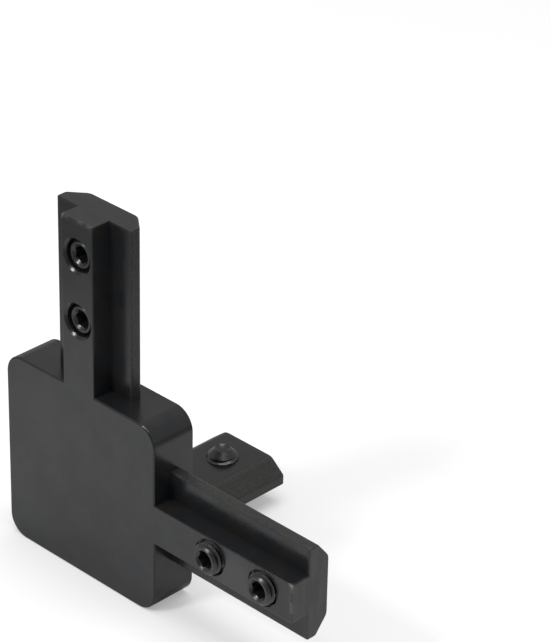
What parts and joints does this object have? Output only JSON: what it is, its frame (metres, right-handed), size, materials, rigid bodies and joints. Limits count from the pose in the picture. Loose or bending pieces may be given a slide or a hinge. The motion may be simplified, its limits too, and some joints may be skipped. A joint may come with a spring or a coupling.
{
  "type": "three way corner connector",
  "caption": "Corner connector: a square plate caps one slotted rail, and T-section arms with hex set screws lock in the slots of the rails that meet there.",
  "frame": {"origin": "middle of the plate's back face, on the capped rail's centreline", "axes": "+X along the right arm, +Y along the back arm and out of the plate's back face, +Z along the upper arm"},
  "size_m": [0.0717, 0.0443, 0.0717],
  "materials": {
    "casting": "satin black coat over cast metal, with worn edges",
    "set_screw": "black oxide steel, lightly oiled"
  },
  "bodies": {
    "connector": {"corner_body": "casting"},
    "right_inner_screw": {"right_set_screw_inner": "set_screw"},
    "right_outer_screw": {"right_set_screw_outer": "set_screw"},
    "upper_inner_screw": {"upper_set_screw_inner": "set_screw"},
    "upper_outer_screw": {"upper_set_screw_outer": "set_screw"},
    "back_inner_screw": {"back_set_screw_inner": "set_screw"},
    "back_outer_screw": {"back_set_screw_outer": "set_screw"}
  },
  "joints": [
    {"name": "right_inner_screw_drive", "type": "slide", "parent": "connector", "child": "right_inner_screw", "axis": [0, 1, 0], "range_m": [-0.0035, 0.0023]},
    {"name": "right_outer_screw_drive", "type": "slide", "parent": "connector", "child": "right_outer_screw", "axis": [0, 1, 0], "range_m": [-0.0037, 0.0021]},
    {"name": "upper_inner_screw_drive", "type": "slide", "parent": "connector", "child": "upper_inner_screw", "axis": [0, 1, 0], "range_m": [-0.0058, 0]},
    {"name": "upper_outer_screw_drive", "type": "slide", "parent": "connector", "child": "upper_outer_screw", "axis": [0, 1, 0], "range_m": [-0.0058, 0]},
    {"name": "back_inner_screw_drive", "type": "slide", "parent": "connector", "child": "back_inner_screw", "axis": [0, 0, 1], "range_m": [-0.0058, 0]},
    {"name": "back_outer_screw_drive", "type": "slide", "parent": "connector", "child": "back_outer_screw", "axis": [0, 0, 1], "range_m": [-0.0058, 0]}
  ]
}
